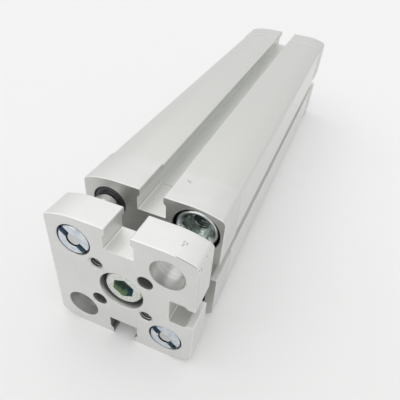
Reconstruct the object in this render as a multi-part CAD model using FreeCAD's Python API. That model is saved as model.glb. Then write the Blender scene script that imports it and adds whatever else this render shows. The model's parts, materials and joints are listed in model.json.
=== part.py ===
import FreeCAD, Part
import math
import os

# Guided compact pneumatic cylinder, shown retracted, in millimetres.
# Y is the piston axis: the rear mounting face is at y = 0 and the front plate is towards -Y.
# Z is up, and the two supply ports are on the -X side.

# Driving sizes of the cylinder
stroke = 75.0
bore_diameter = 16.0
piston_rod_diameter = 8.0
guide_rod_diameter = 5.0

# Front plate, gap and end caps, along the axis
plate_thickness = 6.3
plate_gap = 5.4
front_cap_length = 9.3
rear_cap_length = 9.4
spigot_length = 3.5

# Section shared by plate, caps and barrel: a square with crowned top and bottom
channel_diameter = 5.6
channel_wall = 1.928
corner_wall = 0.7
crown_drop = 1.4
crown_width = 7.0
corner_radius = 1.2
barrel_inset = 0.2
edge_break = 0.12
joint_edge_break = 0.08

# Sensor slots on top, right and bottom
slot_mouth = 4.8
slot_inner_width = 5.9
slot_depth = 4.85
slot_lip = 1.4
slot_lip_slope = 0.6
slot_floor_chamfer = 0.15
slot_mouth_break = 0.15
barrel_mouth_step = 0.2
slot_turns = (0, 90, 180)

# Clearances
running_gap = 0.03
seat_gap = 0.02
thread_gap = 0.05
piston_gap = 0.15
end_gap = 0.15
hole_gap = 0.1

# Flange screws that hold the caps, each with a female mounting thread in it
flange_head_diameter = 8.5
flange_head_height = 3.4
flange_head_gap = 0.55
flange_head_recess = 0.3
flange_socket_flats = 5.5
flange_socket_depth = 2.6
flange_rim = 0.5
flange_thread_core = 3.3
flange_thread_depth = 9.0
drill_point_angle = 118.0
flange_engagement = 8.0
flange_edge = 0.3

# Guide rods, their bushes and their slotted nuts
guide_rod_tail = 4.7
guide_rod_tip = 0.5
guide_bush_wall = 0.98
guide_bush_recess = 0.2
guide_bush_edge = 0.25
guide_rod_shoulder = 0.5
guide_spigot_relief = 0.3
stud_diameter = 2.7
stud_tip = 0.15
nut_diameter = 6.2
nut_height = 3.4
nut_gap = 0.3
nut_slot_width = 1.5
nut_slot_depth = 1.0
nut_edge = 0.2
nut_stud_recess = 0.2
nut_slot_turn = 41.0

# Screw that holds the plate on the piston rod
screw_diameter = 5.0
screw_head_diameter = 7.66
screw_head_height = 3.5
screw_head_recess = 0.8
screw_head_gap = 0.645
screw_head_edge = 0.35
screw_socket_flats = 4.0
screw_socket_depth = 2.3
screw_socket_turn = 22.0
screw_engagement = 12.0
screw_hole_spare = 2.0

# Tool holes and accessory holes in the plate
access_hole_diameter = 6.5
dowel_diameter = 3.0
accessory_thread_core = 2.5
accessory_thread_sink = 0.35
accessory_wall = 0.955
hole_edge = 0.12

# Rod bush and rod seal in the front cap
rod_seal_section = 1.97
rod_seal_length = 2.3
rod_seal_pocket = 3.2
rod_seal_cover = 0.8
rod_seal_lip = 0.5
rod_hole_gap = 0.4
rod_bush_wall = 0.95
rod_bush_length = 4.5
rod_annulus = 0.6

# O-rings that seal the caps in the barrel
o_ring_groove_depth = 1.4
o_ring_groove_width = 1.8
o_ring_groove_offset = 0.85
o_ring_width = 1.6

# Supply ports and air passages
port_core = 4.2
port_depth = 5.0
port_sink = 0.5
port_passage = 1.6
rear_feed_diameter = 3.0
port_passage_drop = 2.3

# Piston
piston_flange_length = 3.5
piston_hub_diameter = 9.6
piston_seal_groove_depth = 1.65
piston_seal_groove_width = 2.0
piston_seal_width = 1.9
piston_seal_notch = 0.8
piston_rod_seat = 1.5
magnet_width = 3.0
wear_ring_thickness = 0.58
bumper_thickness = 1.0
bumper_margin = 0.5
piston_screw_diameter = 4.0
piston_screw_head_diameter = 7.0
piston_screw_head_height = 2.2
piston_screw_head_recess = 0.3
piston_screw_engagement = 6.0
piston_screw_socket_flats = 3.0
piston_screw_socket_depth = 1.4

# Radii that several pieces share
bore_radius = bore_diameter / 2
piston_rod_radius = piston_rod_diameter / 2
guide_rod_radius = guide_rod_diameter / 2
guide_spigot_radius = guide_rod_radius - guide_rod_shoulder
channel_radius = channel_diameter / 2
flange_head_radius = flange_head_diameter / 2
flange_counterbore = flange_head_radius + flange_head_gap
flange_shank = channel_radius - thread_gap
nut_radius = nut_diameter / 2
screw_head_radius = screw_head_diameter / 2
screw_counterbore = screw_head_radius + screw_head_gap
dowel_radius = dowel_diameter / 2
spigot_radius = bore_radius - running_gap
guide_bush_radius = guide_rod_radius + running_gap + guide_bush_wall

# Places of the four corner axes and the half side of the section
corner_offset = (bore_radius + channel_wall + channel_radius) / math.sqrt(2)
half_side = corner_offset + flange_counterbore + corner_wall
guide_corners = {"upper": (-corner_offset, corner_offset), "lower": (corner_offset, -corner_offset)}
screw_corners = ((corner_offset, corner_offset), (-corner_offset, -corner_offset))
all_corners = tuple(guide_corners.values()) + screw_corners
accessory_offset = (screw_counterbore + accessory_wall + dowel_radius) / math.sqrt(2)

# Stations along the axis, from the rear face forwards
piston_length = 2 * piston_flange_length + magnet_width
barrel_length = stroke + piston_length + 2 * (bumper_thickness + end_gap + spigot_length)
rear_face = 0.0
barrel_rear = rear_face - rear_cap_length
rear_spigot_face = barrel_rear - spigot_length
piston_rear = rear_spigot_face - end_gap - bumper_thickness
piston_front = piston_rear - piston_length
barrel_front = barrel_rear - barrel_length
front_spigot_face = barrel_front + spigot_length
cap_front = barrel_front - front_cap_length
plate_back = cap_front - plate_gap
plate_front = plate_back - plate_thickness

axis = FreeCAD.Vector(0, 1, 0)
origin = FreeCAD.Vector(0, 0, 0)


def rod(radius, y_start, y_end, place=(0, 0)):
    """A cylinder along Y between two stations, at an (x, z) place."""
    low = min(y_start, y_end)
    return Part.makeCylinder(radius, abs(y_end - y_start), FreeCAD.Vector(place[0], low, place[1]), axis)


def tube(outer, inner, y_start, y_end, place=(0, 0)):
    """A plain ring along Y."""
    return rod(outer, y_start, y_end, place).cut(rod(inner, y_start, y_end, place))


def turned(profile, place=(0, 0)):
    """A turned piece from the (radius, y) corners of its half section."""
    corners = [FreeCAD.Vector(radius, y, 0) for radius, y in profile]
    face = Part.Face(Part.makePolygon(corners + corners[:1]))
    solid = face.revolve(origin, axis, 360)
    if solid.Volume < 0:
        solid.reverse()
    return solid.translated(FreeCAD.Vector(place[0], 0, place[1]))


def sink(radius, depth, y_face, inward, place=(0, 0)):
    """A 45 degree countersink cutter that widens a hole of this radius at a face."""
    mouth = FreeCAD.Vector(place[0], y_face, place[1])
    return Part.makeCone(radius + depth, radius, depth, mouth, FreeCAD.Vector(0, inward, 0))


def hexagon(flats, y_start, y_end, place=(0, 0), turn=0.0):
    """A hexagonal bar along Y, for socket recesses."""
    radius = flats / math.sqrt(3)
    corners = []
    for step in range(6):
        angle = math.radians(60 * step + turn)
        x = place[0] + radius * math.cos(angle)
        z = place[1] + radius * math.sin(angle)
        corners.append(FreeCAD.Vector(x, y_start, z))
    face = Part.Face(Part.makePolygon(corners + corners[:1]))
    return face.extrude(FreeCAD.Vector(0, y_end - y_start, 0))


def arc_edge(centre, radius, angles, signs, y):
    """An arc in the section plane, mirrored into a quadrant by its signs."""
    points = []
    for angle in (angles[0], (angles[0] + angles[1]) / 2, angles[1]):
        x = centre[0] + radius * math.cos(angle)
        z = centre[1] + radius * math.sin(angle)
        points.append(FreeCAD.Vector(signs[0] * x, y, signs[1] * z))
    return Part.Arc(*points).toShape()


def crowned_square(inset, y):
    """Section outline: straight sides, top and bottom flat in the middle and falling off to the corners."""
    half = half_side - inset
    flat = half_side - crown_width
    crown = (crown_width ** 2 + crown_drop ** 2) / (2 * crown_drop) - inset
    corner = corner_radius - inset
    crown_z = half - crown
    corner_x = half - corner
    corner_z = crown_z + math.sqrt((crown - corner) ** 2 - (corner_x - flat) ** 2)
    meet = math.atan2(corner_z - crown_z, corner_x - flat)
    edges = []
    for signs in ((1, 1), (1, -1), (-1, -1), (-1, 1)):
        top = FreeCAD.Vector(0, y, signs[1] * half)
        shoulder = FreeCAD.Vector(signs[0] * flat, y, signs[1] * half)
        side = FreeCAD.Vector(signs[0] * half, y, signs[1] * corner_z)
        middle = FreeCAD.Vector(signs[0] * half, y, 0)
        edges.append(Part.makeLine(top, shoulder))
        edges.append(arc_edge((flat, crown_z), crown, (math.pi / 2, meet), signs, y))
        edges.append(arc_edge((corner_x, corner_z), corner, (meet, 0), signs, y))
        edges.append(Part.makeLine(side, middle))
    return Part.Wire(Part.sortEdges(edges)[0])


def slot_cutters(inset, mouth_step, y_start, y_end):
    """T-shaped slots with sloped lips, cut in from the top, the right and the bottom."""
    mouth = slot_mouth / 2 - mouth_step
    inner = slot_inner_width / 2
    top = half_side - inset
    floor = half_side - slot_depth
    lip = half_side - slot_lip
    right = [
        (mouth + slot_mouth_break + slot_lip, top + slot_lip),
        (mouth, top - slot_mouth_break),
        (mouth, lip),
        (inner, lip - slot_lip_slope),
        (inner, floor + slot_floor_chamfer),
        (inner - slot_floor_chamfer, floor),
    ]
    left = [(-x, z) for x, z in reversed(right)]
    corners = [FreeCAD.Vector(x, y_start, z) for x, z in right + left]
    face = Part.Face(Part.makePolygon(corners + corners[:1]))
    cutter = face.extrude(FreeCAD.Vector(0, y_end - y_start, 0))
    return [cutter.rotated(origin, axis, turn) for turn in slot_turns]


def profile_block(y_start, y_end, inset=0.0, mouth_step=0.0, breaks=()):
    """A length of the section with its slots; breaks pair an end face with the size of its edge break."""
    block = Part.Face(crowned_square(inset, y_start)).extrude(FreeCAD.Vector(0, y_end - y_start, 0))
    block = block.removeSplitter()
    for face, size in breaks:
        rim = [edge for edge in block.Edges if all(abs(v.Y - face) < 1e-6 for v in edge.Vertexes)]
        block = block.makeChamfer(size, rim)
    return block.cut(slot_cutters(inset, mouth_step, y_start, y_end))


def through_hole(radius, y_start, y_end, place=(0, 0)):
    """A hole right through a plate, with both rims broken."""
    low = min(y_start, y_end)
    high = max(y_start, y_end)
    return [
        rod(radius, low, high, place),
        sink(radius, hole_edge, low, 1, place),
        sink(radius, hole_edge, high, -1, place),
    ]


def flange_screw(face, inward, place):
    """A hollow cap screw: its head lies in a counterbore, and its socket leads to a blind mounting thread."""
    top = face + inward * flange_head_recess
    seat = top + inward * flange_head_height
    joint = barrel_front if inward > 0 else barrel_rear
    tip = joint + inward * flange_engagement
    body = turned([
        (0, top),
        (flange_head_radius - flange_edge, top),
        (flange_head_radius, top + inward * flange_edge),
        (flange_head_radius, seat),
        (flange_shank, seat),
        (flange_shank, tip - inward * flange_edge),
        (flange_shank - flange_edge, tip),
        (0, tip),
    ], place)
    socket_floor = top + inward * flange_socket_depth
    thread_end = socket_floor + inward * flange_thread_depth
    half_flats = flange_socket_flats / 2
    core = flange_thread_core / 2
    drill_point = core / math.tan(math.radians(drill_point_angle / 2))
    point_start = FreeCAD.Vector(place[0], thread_end, place[1])
    return body.cut([
        hexagon(flange_socket_flats, top, socket_floor, place),
        sink(half_flats, flange_head_radius - flange_rim - half_flats, top, inward, place),
        rod(core, socket_floor, thread_end, place),
        Part.makeCone(core, 0, drill_point, point_start, FreeCAD.Vector(0, inward, 0)),
    ])


def flange_screw_seat(face, inward, joint, place):
    """Counterbore and clearance hole for a flange screw in a cap."""
    seat = face + inward * (flange_head_recess + flange_head_height)
    return [
        rod(flange_counterbore, face, seat, place),
        rod(flange_shank + hole_gap, seat, joint, place),
    ]


def port(y):
    """Threaded supply port in the -X side, as its core hole and countersink."""
    mouth = FreeCAD.Vector(-half_side, y, 0)
    inward = FreeCAD.Vector(1, 0, 0)
    core = port_core / 2
    return [
        Part.makeCylinder(core, port_depth, mouth, inward),
        Part.makeCone(core + port_sink, core, port_sink, mouth, inward),
    ]


def drilled(start, end, radius):
    """A small drilled passage between two points."""
    line = end.sub(start)
    return Part.makeCylinder(radius, line.Length, start, line)


def spigot(joint, inward):
    """Round spigot that centres a cap in the bore, with its O-ring groove."""
    tip = joint + inward * spigot_length
    body = rod(spigot_radius, joint, tip)
    groove_end = tip - inward * o_ring_groove_offset
    groove_start = groove_end - inward * o_ring_groove_width
    return body.cut(tube(bore_radius, bore_radius - o_ring_groove_depth, groove_start, groove_end))


def o_ring(joint, inward):
    """Seal ring squeezed between the groove floor and the bore, so its sides bulge."""
    tip = joint + inward * spigot_length
    middle = tip - inward * (o_ring_groove_offset + o_ring_groove_width / 2)
    inner = bore_radius - o_ring_groove_depth + seat_gap
    outer = bore_radius - seat_gap
    round_off = (outer - inner) / 4
    half = o_ring_width / 2
    return turned([
        (inner, middle - half + round_off),
        (inner + round_off, middle - half),
        (outer - round_off, middle - half),
        (outer, middle - half + round_off),
        (outer, middle + half - round_off),
        (outer - round_off, middle + half),
        (inner + round_off, middle + half),
        (inner, middle + half - round_off),
    ])


def barrel():
    """Extruded barrel with its bore, corner channels and slots."""
    cuts = [rod(bore_radius, barrel_front, barrel_rear)]
    for place in all_corners:
        cuts.append(rod(channel_radius, barrel_front, barrel_rear, place))
    block = profile_block(barrel_front, barrel_rear, barrel_inset, barrel_mouth_step)
    return block.cut(cuts)


def front_cap():
    """Bearing cap: rod seal, rod bush, two guide bushes, two flange screws and a port."""
    breaks = ((cap_front, edge_break), (barrel_front, joint_edge_break))
    block = profile_block(cap_front, barrel_front, breaks=breaks)
    seal_start = cap_front + rod_seal_cover
    seal_floor = cap_front + rod_seal_pocket
    bush_end = seal_floor + rod_bush_length
    annulus = piston_rod_radius + rod_annulus
    cuts = [
        rod(piston_rod_radius + rod_hole_gap, cap_front, seal_start),
        rod(piston_rod_radius + running_gap + rod_seal_section + seat_gap, seal_start, seal_floor),
        rod(piston_rod_radius + running_gap + rod_bush_wall + seat_gap, seal_floor, bush_end),
        rod(annulus, bush_end, front_spigot_face),
    ]
    for place in guide_corners.values():
        cuts.append(rod(guide_bush_radius + seat_gap, cap_front, barrel_front, place))
    for place in screw_corners:
        cuts.extend(flange_screw_seat(cap_front, 1, barrel_front, place))
    port_y = (cap_front + barrel_front) / 2
    cuts.extend(port(port_y))
    passage_start = FreeCAD.Vector(-half_side + port_depth - port_passage, port_y, 0)
    passage_end = FreeCAD.Vector(-annulus + port_passage / 4, bush_end + port_passage_drop, 0)
    cuts.append(drilled(passage_start, passage_end, port_passage / 2))
    return block.fuse(spigot(barrel_front, 1)).cut(cuts).removeSplitter()


def rear_cap():
    """End cap: four flange screws, a port and its feed to the bore."""
    breaks = ((barrel_rear, joint_edge_break), (rear_face, edge_break))
    block = profile_block(barrel_rear, rear_face, breaks=breaks)
    cuts = []
    for place in all_corners:
        cuts.extend(flange_screw_seat(rear_face, -1, barrel_rear, place))
    port_y = (rear_face + barrel_rear) / 2
    cuts.extend(port(port_y))
    passage_start = FreeCAD.Vector(-half_side + port_depth - port_passage, port_y, 0)
    cuts.append(drilled(passage_start, FreeCAD.Vector(0, port_y, 0), port_passage / 2))
    cuts.append(rod(rear_feed_diameter / 2, port_y + port_passage / 2, rear_spigot_face))
    return block.fuse(spigot(barrel_rear, -1)).cut(cuts).removeSplitter()


def rod_bush():
    """Plain bearing for the piston rod."""
    start = cap_front + rod_seal_pocket
    inner = piston_rod_radius + running_gap
    return tube(inner + rod_bush_wall, inner, start, start + rod_bush_length)


def rod_seal():
    """Wiper seal for the piston rod, behind the cap's front wall, with a tapered lip at the front."""
    end = cap_front + rod_seal_pocket
    start = end - rod_seal_length
    inner = piston_rod_radius + running_gap
    outer = inner + rod_seal_section
    return turned([
        (inner, start),
        (inner + rod_seal_lip, start),
        (inner + 2 * rod_seal_lip, start + rod_seal_lip),
        (outer, start + rod_seal_lip),
        (outer, end),
        (inner + rod_seal_lip, end),
        (inner + rod_seal_lip, start + 2 * rod_seal_lip),
        (inner, start + rod_seal_lip),
    ])


def guide_bush(place):
    """Guide rod bush with a broken front rim, held between the cap's hole and the barrel's end face."""
    start = cap_front + guide_bush_recess
    inner = guide_rod_radius + running_gap
    return turned([
        (inner, start),
        (guide_bush_radius - guide_bush_edge, start),
        (guide_bush_radius, start + guide_bush_edge),
        (guide_bush_radius, barrel_front),
        (inner, barrel_front),
    ], place)


def front_plate():
    """Plate that joins the piston rod and the guide rods, with its accessory holes."""
    breaks = ((plate_front, edge_break), (plate_back, edge_break))
    block = profile_block(plate_front, plate_back, breaks=breaks)
    screw_floor = plate_front + screw_head_recess + screw_head_height
    nut_floor = plate_front + nut_height
    cuts = [
        rod(screw_counterbore, plate_front, screw_floor),
        sink(screw_counterbore, hole_edge, plate_front, 1),
        rod(screw_diameter / 2 + hole_gap, screw_floor, plate_back),
    ]
    for place in guide_corners.values():
        cuts.append(rod(nut_radius + nut_gap, plate_front, nut_floor, place))
        cuts.append(sink(nut_radius + nut_gap, hole_edge, plate_front, 1, place))
        cuts.append(rod(guide_spigot_radius + seat_gap, nut_floor, plate_back, place))
    for place in screw_corners:
        cuts.extend(through_hole(access_hole_diameter / 2, plate_front, plate_back, place))
    for side in (-1, 1):
        dowel = (side * accessory_offset, side * accessory_offset)
        thread = (side * accessory_offset, -side * accessory_offset)
        core = accessory_thread_core / 2
        cuts.extend(through_hole(dowel_radius, plate_front, plate_back, dowel))
        cuts.append(rod(core, plate_front, plate_back, thread))
        cuts.append(sink(core, accessory_thread_sink, plate_front, 1, thread))
        cuts.append(sink(core, accessory_thread_sink, plate_back, -1, thread))
    return block.cut(cuts).removeSplitter()


def plate_screw():
    """Socket head screw that clamps the plate to the piston rod."""
    top = plate_front + screw_head_recess
    seat = top + screw_head_height
    tip = plate_back + screw_engagement
    shank = screw_diameter / 2
    body = turned([
        (0, top),
        (screw_head_radius - screw_head_edge, top),
        (screw_head_radius, top + screw_head_edge),
        (screw_head_radius, seat),
        (shank, seat),
        (shank, tip - screw_head_edge),
        (shank - screw_head_edge, tip),
        (0, tip),
    ])
    return body.cut(hexagon(screw_socket_flats, top, top + screw_socket_depth, turn=screw_socket_turn))


def piston_rod():
    """Piston rod with a thread in each end, from the plate to its seat in the piston."""
    end = piston_front + piston_rod_seat
    body = rod(piston_rod_radius, plate_back, end)
    plate_hole_end = plate_back + screw_engagement + screw_hole_spare
    piston_hole_start = end - piston_screw_engagement - screw_hole_spare
    return body.cut([
        rod(screw_diameter / 2 + thread_gap, plate_back, plate_hole_end),
        rod(piston_screw_diameter / 2 + thread_gap, piston_hole_start, end),
    ])


def guide_rod(place):
    """Guide rod with a spigot that locates it in the plate and a threaded stud for its nut."""
    end = barrel_front + stroke + guide_rod_tail
    stud = stud_diameter / 2
    stud_end = plate_front + nut_stud_recess
    spigot_end = plate_front + nut_height + guide_spigot_relief
    return turned([
        (0, stud_end),
        (stud - stud_tip, stud_end),
        (stud, stud_end + stud_tip),
        (stud, spigot_end),
        (guide_spigot_radius, spigot_end),
        (guide_spigot_radius, plate_back),
        (guide_rod_radius, plate_back),
        (guide_rod_radius, end - guide_rod_tip),
        (guide_rod_radius - guide_rod_tip, end),
        (0, end),
    ], place)


def guide_rod_nut(place):
    """Round slotted nut, flush in its counterbore."""
    floor = plate_front + nut_height
    bore = stud_diameter / 2 + thread_gap
    body = turned([
        (bore, plate_front),
        (nut_radius - nut_edge, plate_front),
        (nut_radius, plate_front + nut_edge),
        (nut_radius, floor),
        (bore, floor),
    ], place)
    corner = FreeCAD.Vector(place[0] - nut_diameter, plate_front, place[1] - nut_slot_width / 2)
    slot = Part.makeBox(2 * nut_diameter, nut_slot_depth, nut_slot_width, corner)
    centre = FreeCAD.Vector(place[0], plate_front, place[1])
    return body.cut(slot.rotated(centre, axis, nut_slot_turn))


def piston_half(face, inward):
    """One half of the piston: a flange with a seal groove, and half of the hub under the magnet."""
    flange = bore_radius - piston_gap
    flange_end = face + inward * piston_flange_length
    hub_end = flange_end + inward * magnet_width / 2
    groove_floor = flange - piston_seal_groove_depth
    land = (piston_flange_length - piston_seal_groove_width) / 2
    groove_start = face + inward * land
    groove_end = groove_start + inward * piston_seal_groove_width
    body = turned([
        (piston_screw_diameter / 2 + hole_gap, face),
        (flange, face),
        (flange, groove_start),
        (groove_floor, groove_start),
        (groove_floor, groove_end),
        (flange, groove_end),
        (flange, flange_end),
        (piston_hub_diameter / 2, flange_end),
        (piston_hub_diameter / 2, hub_end),
        (piston_screw_diameter / 2 + hole_gap, hub_end),
    ])
    return body


def piston_front_half():
    """Front half, with the seat of the piston rod."""
    seat = rod(piston_rod_radius + seat_gap, piston_front, piston_front + piston_rod_seat)
    return piston_half(piston_front, 1).cut(seat)


def piston_rear_half():
    """Rear half, with the recess of the piston screw's head."""
    floor = piston_rear - piston_screw_head_recess - piston_screw_head_height
    recess = rod(piston_screw_head_diameter / 2 + hole_gap, piston_rear, floor)
    return piston_half(piston_rear, -1).cut(recess)


def piston_seal(face, inward):
    """Lip seal whose notch opens towards the pressure side."""
    land = (piston_flange_length - piston_seal_groove_width) / 2
    start = face + inward * (land + (piston_seal_groove_width - piston_seal_width) / 2)
    end = start + inward * piston_seal_width
    inner = bore_radius - piston_gap - piston_seal_groove_depth + seat_gap
    outer = bore_radius - running_gap
    middle = (inner + outer) / 2
    heel = outer - piston_gap
    return turned([
        (inner, start),
        (middle, start + inward * piston_seal_notch),
        (outer, start),
        (outer, start + inward * piston_seal_notch),
        (heel, end),
        (inner, end),
    ])


def piston_ring(outer, inner):
    """A ring that fills the space between the two piston halves."""
    start = piston_front + piston_flange_length
    return tube(outer, inner, start + seat_gap, start + magnet_width - seat_gap)


def piston_magnet():
    """Ring magnet that the sensors in the slots read."""
    outer = bore_radius - 2 * running_gap - wear_ring_thickness - seat_gap
    return piston_ring(outer, piston_hub_diameter / 2 + seat_gap)


def piston_wear_ring():
    """Guide band that carries the piston in the bore."""
    outer = bore_radius - 2 * running_gap
    return piston_ring(outer, outer - wear_ring_thickness)


def piston_screw():
    """Screw that clamps both piston halves to the rod."""
    top = piston_rear - piston_screw_head_recess
    seat = top - piston_screw_head_height
    tip = piston_front + piston_rod_seat - piston_screw_engagement
    shank = piston_screw_diameter / 2
    head = piston_screw_head_diameter / 2
    body = rod(head, seat, top).fuse(rod(shank, tip, seat))
    return body.cut(hexagon(piston_screw_socket_flats, top - piston_screw_socket_depth, top))


def bumper(face, outward):
    """Elastic end stop bonded to a face of the piston."""
    inner = piston_rod_radius + bumper_margin
    outer = bore_radius - piston_gap - bumper_margin
    return tube(outer, inner, face, face + outward * bumper_thickness)


pieces = {
    "barrel": barrel(),
    "front_cap": front_cap(),
    "rear_cap": rear_cap(),
    "front_flange_screws": Part.makeCompound([flange_screw(cap_front, 1, place) for place in screw_corners]),
    "rear_flange_screws": Part.makeCompound([flange_screw(rear_face, -1, place) for place in all_corners]),
    "rod_bush": rod_bush(),
    "rod_seal": rod_seal(),
    "front_cap_o_ring": o_ring(barrel_front, 1),
    "rear_cap_o_ring": o_ring(barrel_rear, -1),
    "front_plate": front_plate(),
    "plate_screw": plate_screw(),
    "piston_rod": piston_rod(),
    "piston_front_half": piston_front_half(),
    "piston_rear_half": piston_rear_half(),
    "piston_front_seal": piston_seal(piston_front, 1),
    "piston_rear_seal": piston_seal(piston_rear, -1),
    "piston_magnet": piston_magnet(),
    "piston_wear_ring": piston_wear_ring(),
    "piston_screw": piston_screw(),
    "front_bumper": bumper(piston_front, -1),
    "rear_bumper": bumper(piston_rear, 1),
}
for corner_name, corner_place in guide_corners.items():
    pieces["guide_bush_" + corner_name] = guide_bush(corner_place)
    pieces["guide_rod_" + corner_name] = guide_rod(corner_place)
    pieces["guide_rod_nut_" + corner_name] = guide_rod_nut(corner_place)

os.makedirs("parts", exist_ok=True)
for name, shape in pieces.items():
    shape.exportStep("parts/" + name + ".step")
    print(name, "solids", len(shape.Solids), "valid", shape.isValid(), "mm3", round(shape.Volume, 2))
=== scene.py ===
"""Looks of a guided compact pneumatic cylinder: finishes, threads, knurl, stage, light and camera.

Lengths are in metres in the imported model's frame: Y is the piston axis, the front plate is
towards -Y, Z is up and the two supply ports are on the -X side. Colours are linear red, green
and blue.
"""
import json
import math
from collections import namedtuple

import bpy
from mathutils import Matrix, Vector


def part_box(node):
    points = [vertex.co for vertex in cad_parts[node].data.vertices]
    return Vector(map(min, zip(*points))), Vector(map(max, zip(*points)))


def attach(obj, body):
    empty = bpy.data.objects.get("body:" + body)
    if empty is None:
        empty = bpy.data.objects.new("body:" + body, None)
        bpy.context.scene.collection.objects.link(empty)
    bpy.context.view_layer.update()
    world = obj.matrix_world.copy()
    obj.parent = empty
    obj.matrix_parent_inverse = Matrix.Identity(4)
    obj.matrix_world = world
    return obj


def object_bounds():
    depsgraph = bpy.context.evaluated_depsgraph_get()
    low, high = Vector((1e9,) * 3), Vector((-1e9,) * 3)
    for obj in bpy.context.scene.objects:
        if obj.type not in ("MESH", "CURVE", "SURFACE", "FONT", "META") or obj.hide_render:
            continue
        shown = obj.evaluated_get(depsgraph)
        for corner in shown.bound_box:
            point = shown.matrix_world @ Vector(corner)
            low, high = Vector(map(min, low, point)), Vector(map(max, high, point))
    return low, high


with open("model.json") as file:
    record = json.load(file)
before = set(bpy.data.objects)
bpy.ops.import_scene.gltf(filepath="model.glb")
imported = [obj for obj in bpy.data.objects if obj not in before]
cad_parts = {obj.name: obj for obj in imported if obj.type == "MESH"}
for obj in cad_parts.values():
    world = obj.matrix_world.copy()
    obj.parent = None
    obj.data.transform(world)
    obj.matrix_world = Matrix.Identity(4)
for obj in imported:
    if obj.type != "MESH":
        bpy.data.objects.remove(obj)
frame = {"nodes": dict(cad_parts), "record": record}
cad_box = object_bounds()
nodes = frame["nodes"]

MM = 0.001

# Stations and places read from the frame
plate_low, plate_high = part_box("front_plate")
cap_low, cap_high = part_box("front_cap")
barrel_low, barrel_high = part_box("barrel")
nut_low, nut_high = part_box("guide_rod_nut_lower")
screw_low, screw_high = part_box("plate_screw")
plate_front = plate_low.y
cap_front = cap_low.y
rear_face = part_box("rear_cap")[1].y
half_side = cap_high.x
corner_offset = (nut_low.x + nut_high.x) / 2
corner_circle = corner_offset * math.sqrt(2)
screw_radius = screw_high.x
flange_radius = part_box("front_flange_screws")[1].x - corner_offset

# Mounts that the record gives by name
mounts = {mount["name"]: mount for mount in frame["record"]["mounts"]}
accessory_circle = mounts["plate_threads"]["dims"]["pcd_mm"] / 2 * MM
accessory_offset = accessory_circle / math.sqrt(2)


# Node helpers

FLOAT = "NodeSocketFloat"
VECTOR = "NodeSocketVector"


def feed(tree, made, inputs):
    """Links or sets the inputs of a node, found by their identifiers. A colour gets an alpha of 1."""
    for key, value in inputs.items():
        socket = next(s for s in made.inputs if s.identifier == key)
        if isinstance(value, bpy.types.NodeSocket):
            tree.links.new(value, socket)
        elif socket.type == "RGBA":
            socket.default_value = (*value, 1.0)
        else:
            socket.default_value = value


def add(tree, kind, inputs=None, **settings):
    """Adds a node, sets its properties and feeds its inputs."""
    made = tree.nodes.new(kind)
    for name, value in settings.items():
        setattr(made, name, value)
    feed(tree, made, inputs or {})
    return made


def maths(tree, operation, *values):
    """A Math node on one to three values."""
    made = add(tree, "ShaderNodeMath", operation=operation)
    for socket, value in zip(made.inputs, values):
        feed(tree, made, {socket.identifier: value})
    return made.outputs["Value"]


def times(tree, first, *others):
    """The product of values or masks."""
    for other in others:
        first = maths(tree, "MULTIPLY", first, other)
    return first


def plus(tree, first, second):
    """The sum of two values."""
    return maths(tree, "ADD", first, second)


def minus(tree, first, second):
    """The first value less the second."""
    return maths(tree, "SUBTRACT", first, second)


def divided(tree, first, second):
    """The first value divided by the second."""
    return maths(tree, "DIVIDE", first, second)


def larger(tree, first, second):
    """The larger of two values."""
    return maths(tree, "MAXIMUM", first, second)


def smaller(tree, first, second):
    """The smaller of two values."""
    return maths(tree, "MINIMUM", first, second)


def is_under(tree, value, limit):
    """1 where a value is under a limit, else 0."""
    return maths(tree, "LESS_THAN", value, limit)


def is_over(tree, value, limit):
    """1 where a value is over a limit, else 0."""
    return maths(tree, "GREATER_THAN", value, limit)


def vector_maths(tree, operation, output, *vectors):
    """A Vector Math node, read at the named output."""
    made = add(tree, "ShaderNodeVectorMath", operation=operation)
    for socket, value in zip(made.inputs, vectors):
        feed(tree, made, {socket.identifier: value})
    return made.outputs[output]


def axes_of(tree, vector):
    """The X, Y and Z outputs of a vector."""
    return add(tree, "ShaderNodeSeparateXYZ", {"Vector": vector}).outputs


def ramp(tree, value, start, end, low=0.0, high=1.0):
    """Maps a value from start..end to low..high, clamped and eased."""
    inputs = {"Value": value, "From Min": start, "From Max": end, "To Min": low, "To Max": high}
    return add(tree, "ShaderNodeMapRange", inputs, interpolation_type="SMOOTHSTEP").outputs["Result"]


def mix_colours(tree, share, first, second):
    """Blends two colours by a share."""
    inputs = {"Factor_Float": share, "A_Color": first, "B_Color": second}
    made = add(tree, "ShaderNodeMix", inputs, data_type="RGBA")
    return next(s for s in made.outputs if s.identifier == "Result_Color")


def mix_values(tree, share, first, second):
    """Blends two values by a share."""
    inputs = {"Factor_Float": share, "A_Float": first, "B_Float": second}
    made = add(tree, "ShaderNodeMix", inputs, data_type="FLOAT")
    return next(s for s in made.outputs if s.identifier == "Result_Float")


def laid_over(tree, colour, mask, share, tint):
    """A colour with a share of a tint laid over it where a mask says."""
    return mix_colours(tree, times(tree, mask, share), colour, tint)


def noise(tree, vector, scale, detail=2.0, roughness=0.5):
    """A noise value of about 0 to 1."""
    inputs = {"Vector": vector, "Scale": scale, "Detail": detail, "Roughness": roughness}
    return add(tree, "ShaderNodeTexNoise", inputs).outputs["Fac"]


def place_on_object(tree):
    """Object coordinates, in metres."""
    return add(tree, "ShaderNodeTexCoord").outputs["Object"]


def bump(tree, height, depth, normal):
    """A bump of a real depth, over a given normal."""
    inputs = {"Height": height, "Distance": depth, "Strength": 1.0, "Normal": normal}
    return add(tree, "ShaderNodeBump", inputs).outputs["Normal"]


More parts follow.
